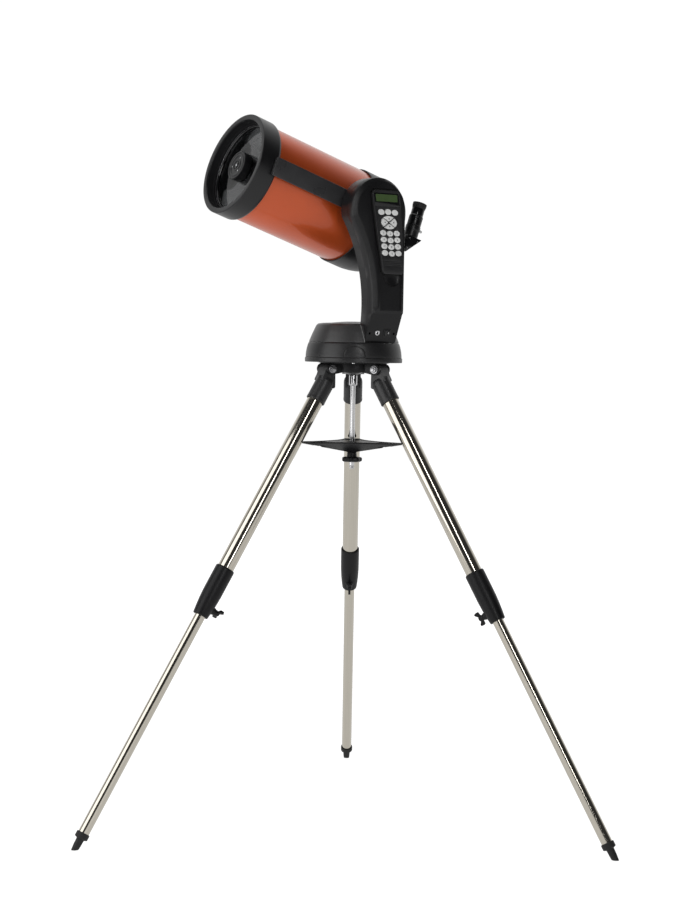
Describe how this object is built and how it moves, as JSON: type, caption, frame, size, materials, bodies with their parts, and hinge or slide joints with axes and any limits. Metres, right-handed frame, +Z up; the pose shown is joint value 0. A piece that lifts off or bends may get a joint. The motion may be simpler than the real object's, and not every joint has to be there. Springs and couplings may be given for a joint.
{
  "type": "schmidt-cassegrain telescope",
  "caption": "Schmidt-Cassegrain telescope on a computerised single-arm altazimuth mount with docked hand control and a steel tripod with accessory tray",
  "frame": {"origin": "on the ground, under the middle of the whole instrument", "axes": "+Z up; +Y towards the back leg, along the tripod's own plane of symmetry; +X to the right seen from the front"},
  "size_m": [1.2012, 1.0423, 1.6336],
  "materials": {
    "charcoal_casting": "satin powder coat",
    "bright_steel": "polished",
    "stainless_tube": "polished stainless",
    "black_plastic": "fine moulded grain",
    "rubber": "matt",
    "brass": "machined",
    "dark_steel": "ground",
    "machined_alloy": "machined",
    "black_metal": "satin black",
    "orange_paint": "metallic orange",
    "corrector_glass": "coated glass",
    "mirror_coating": "aluminised",
    "key_silicone": "matt",
    "lcd_window": "glossy window"
  },
  "bodies": {
    "tripod_base": {"tripod_head": "charcoal_casting", "center_rod": "bright_steel", "base_bottom_plate": "charcoal_casting", "base_housing": "black_plastic", "azimuth_gear": "brass", "leg_1_pivot_bolt": "bright_steel", "leg_2_pivot_bolt": "bright_steel", "leg_3_pivot_bolt": "bright_steel"},
    "tray": {"accessory_tray": "black_plastic"},
    "tray_tension_knob": {"tray_knob": "black_plastic"},
    "leg_1": {"leg_1_top_casting": "charcoal_casting", "leg_1_upper_tube": "stainless_tube", "leg_1_clamp_collar": "black_plastic"},
    "leg_1_lower": {"leg_1_lower_tube": "stainless_tube", "leg_1_foot": "rubber"},
    "leg_1_clamp": {"leg_1_clamp_knob": "black_plastic"},
    "leg_2": {"leg_2_top_casting": "charcoal_casting", "leg_2_upper_tube": "stainless_tube", "leg_2_clamp_collar": "black_plastic"},
    "leg_2_lower": {"leg_2_lower_tube": "stainless_tube", "leg_2_foot": "rubber"},
    "leg_2_clamp": {"leg_2_clamp_knob": "black_plastic"},
    "leg_3": {"leg_3_top_casting": "charcoal_casting", "leg_3_upper_tube": "stainless_tube", "leg_3_clamp_collar": "black_plastic"},
    "leg_3_lower": {"leg_3_lower_tube": "stainless_tube", "leg_3_foot": "rubber"},
    "leg_3_clamp": {"leg_3_clamp_knob": "black_plastic"},
    "mount": {"turntable_dome": "black_plastic", "arm_outer_shell": "black_plastic", "arm_inner_shell": "black_plastic"},
    "azimuth_worm": {"azimuth_worm": "dark_steel"},
    "battery_lid": {"battery_cover": "black_plastic"},
    "switch": {"power_switch": "black_plastic"},
    "telescope": {"altitude_gear": "brass", "dovetail_clamp": "machined_alloy", "dovetail_bar": "black_metal", "front_cell": "black_metal", "corrector_plate": "corrector_glass", "secondary_housing": "black_metal", "secondary_mirror": "mirror_coating", "optical_tube": "orange_paint", "rear_cell": "black_metal", "primary_baffle": "black_metal", "visual_back": "black_metal"},
    "altitude_worm": {"altitude_worm": "dark_steel"},
    "focus_knob": {"focus_knob": "rubber"},
    "mirror": {"primary_mirror": "mirror_coating"},
    "diagonal": {"star_diagonal": "black_metal"},
    "eyepiece": {"eyepiece": "black_metal"},
    "hand_control": {"hand_control_body": "black_plastic", "lcd_window": "lcd_window", "number_keypad": "key_silicone"},
    "menu_key_1": {"menu_key_1": "key_silicone"},
    "menu_key_2": {"menu_key_2": "key_silicone"},
    "menu_key_3": {"menu_key_3": "key_silicone"},
    "direction_key_left": {"direction_key_left": "key_silicone"},
    "direction_key_up": {"direction_key_up": "key_silicone"},
    "direction_key_right": {"direction_key_right": "key_silicone"},
    "direction_key_down": {"direction_key_down": "key_silicone"}
  },
  "joints": [
    {"name": "leg_1_fold", "type": "hinge", "parent": "tripod_base", "child": "leg_1", "pos_m": [0, -0.1008, 1.0588], "axis": [-1, 0, 0], "range_deg": [0, 19.5]},
    {"name": "leg_1_extend", "type": "slide", "parent": "leg_1", "child": "leg_1_lower", "axis": [0, 0.5102, -0.8601], "range_m": [-0.5, 0]},
    {"name": "leg_1_clamp_turn", "type": "hinge", "parent": "leg_1", "child": "leg_1_clamp", "pos_m": [0, 0.17844, 0.50589], "axis": [0, -0.8601, -0.5102], "range_deg": [0, 540]},
    {"name": "leg_2_fold", "type": "hinge", "parent": "tripod_base", "child": "leg_2", "pos_m": [-0.06062, -0.2058, 1.0588], "axis": [0.5, -0.866, 0], "range_deg": [0, 19.5]},
    {"name": "leg_2_extend", "type": "slide", "parent": "leg_2", "child": "leg_2_lower", "axis": [-0.4418, -0.2551, -0.8601], "range_m": [-0.5, 0]},
    {"name": "leg_2_clamp_turn", "type": "hinge", "parent": "leg_2", "child": "leg_2_clamp", "pos_m": [-0.30245, -0.34542, 0.50589], "axis": [0.7448, 0.43, -0.5102], "range_deg": [0, 540]},
    {"name": "leg_3_fold", "type": "hinge", "parent": "tripod_base", "child": "leg_3", "pos_m": [0.06062, -0.2058, 1.0588], "axis": [0.5, 0.866, 0], "range_deg": [0, 19.5]},
    {"name": "leg_3_extend", "type": "slide", "parent": "leg_3", "child": "leg_3_lower", "axis": [0.4418, -0.2551, -0.8601], "range_m": [-0.5, 0]},
    {"name": "leg_3_clamp_turn", "type": "hinge", "parent": "leg_3", "child": "leg_3_clamp", "pos_m": [0.30245, -0.34542, 0.50589], "axis": [-0.7448, 0.43, -0.5102], "range_deg": [0, 540]},
    {"name": "tray_drop", "type": "slide", "parent": "tripod_base", "child": "tray", "axis": [0, 0, -1], "range_m": [0, 0.325]},
    {"name": "tray_knob_turn", "type": "hinge", "parent": "tray", "child": "tray_tension_knob", "pos_m": [0, -0.1708, 0.8538], "axis": [0, 0, -1], "range_deg": [0, 1080]},
    {"name": "azimuth", "type": "hinge", "parent": "tripod_base", "child": "mount", "pos_m": [0, -0.1708, 1.12], "axis": [0, 0, 1], "continuous": true},
    {"name": "azimuth_worm_spin", "type": "hinge", "parent": "mount", "child": "azimuth_worm", "pos_m": [-0.037, -0.1153, 1.105], "axis": [-0.8321, -0.5547, 0], "continuous": true},
    {"name": "battery_cover_lift", "type": "slide", "parent": "mount", "child": "battery_lid", "axis": [0, 0, 1], "range_m": [0, 0.012]},
    {"name": "power_switch_rock", "type": "hinge", "parent": "mount", "child": "switch", "pos_m": [0.07535, -0.24055, 1.1437], "axis": [0.1268, -0.1902, 0.9735], "range_deg": [0, 12]},
    {"name": "altitude", "type": "hinge", "parent": "mount", "child": "telescope", "pos_m": [-0.01123, -0.17829, 1.4276], "axis": [-0.5547, 0.8321, 0], "range_deg": [-38, 71]},
    {"name": "altitude_worm_spin", "type": "hinge", "parent": "mount", "child": "altitude_worm", "pos_m": [0.04424, -0.24707, 1.3709], "axis": [-0.8321, -0.5547, 0], "range_deg": [-1400, 2600]},
    {"name": "focus_turn", "type": "hinge", "parent": "telescope", "child": "focus_knob", "pos_m": [0.05169, -0.05221, 1.32103], "axis": [0.7886, 0.5257, -0.319], "range_deg": [-2880, 2880]},
    {"name": "mirror_slide", "type": "slide", "parent": "telescope", "child": "mirror", "axis": [-0.7886, -0.5257, 0.319], "range_m": [-0.0059, 0.0059]},
    {"name": "diagonal_turn", "type": "hinge", "parent": "telescope", "child": "diagonal", "pos_m": [0.08234, -0.03178, 1.37405], "axis": [0.7886, 0.5257, -0.319], "continuous": true},
    {"name": "eyepiece_pull", "type": "slide", "parent": "diagonal", "child": "eyepiece", "axis": [0.2654, 0.1769, 0.9478], "range_m": [0, 0.06]},
    {"name": "hand_control_lift", "type": "slide", "parent": "mount", "child": "hand_control", "axis": [0.5547, -0.8321, 0], "range_m": [0, 0.08]},
    {"name": "menu_key_1_press", "type": "slide", "parent": "hand_control", "child": "menu_key_1", "axis": [-0.5547, 0.8321, 0], "range_m": [0, 0.0012], "stiffness_N_per_m": 400, "springref_m": -0.0005},
    {"name": "menu_key_2_press", "type": "slide", "parent": "hand_control", "child": "menu_key_2", "axis": [-0.5547, 0.8321, 0], "range_m": [0, 0.0012], "stiffness_N_per_m": 400, "springref_m": -0.0005},
    {"name": "menu_key_3_press", "type": "slide", "parent": "hand_control", "child": "menu_key_3", "axis": [-0.5547, 0.8321, 0], "range_m": [0, 0.0012], "stiffness_N_per_m": 400, "springref_m": -0.0005},
    {"name": "direction_key_left_press", "type": "slide", "parent": "hand_control", "child": "direction_key_left", "axis": [-0.5547, 0.8321, 0], "range_m": [0, 0.0012], "stiffness_N_per_m": 400, "springref_m": -0.0005},
    {"name": "direction_key_up_press", "type": "slide", "parent": "hand_control", "child": "direction_key_up", "axis": [-0.5547, 0.8321, 0], "range_m": [0, 0.0012], "stiffness_N_per_m": 400, "springref_m": -0.0005},
    {"name": "direction_key_right_press", "type": "slide", "parent": "hand_control", "child": "direction_key_right", "axis": [-0.5547, 0.8321, 0], "range_m": [0, 0.0012], "stiffness_N_per_m": 400, "springref_m": -0.0005},
    {"name": "direction_key_down_press", "type": "slide", "parent": "hand_control", "child": "direction_key_down", "axis": [-0.5547, 0.8321, 0], "range_m": [0, 0.0012], "stiffness_N_per_m": 400, "springref_m": -0.0005}
  ],
  "couplings": [
    {"joint": "leg_2_fold", "follows": "leg_1_fold", "ratio": 1},
    {"joint": "leg_3_fold", "follows": "leg_1_fold", "ratio": 1},
    {"joint": "tray_drop", "follows": "leg_1_fold", "m_per_rad": 0.94},
    {"joint": "azimuth_worm_spin", "follows": "azimuth", "ratio": 36},
    {"joint": "altitude_worm_spin", "follows": "altitude", "ratio": 36},
    {"joint": "focus_turn", "follows": "mirror_slide", "rad_per_m": 8400}
  ]
}
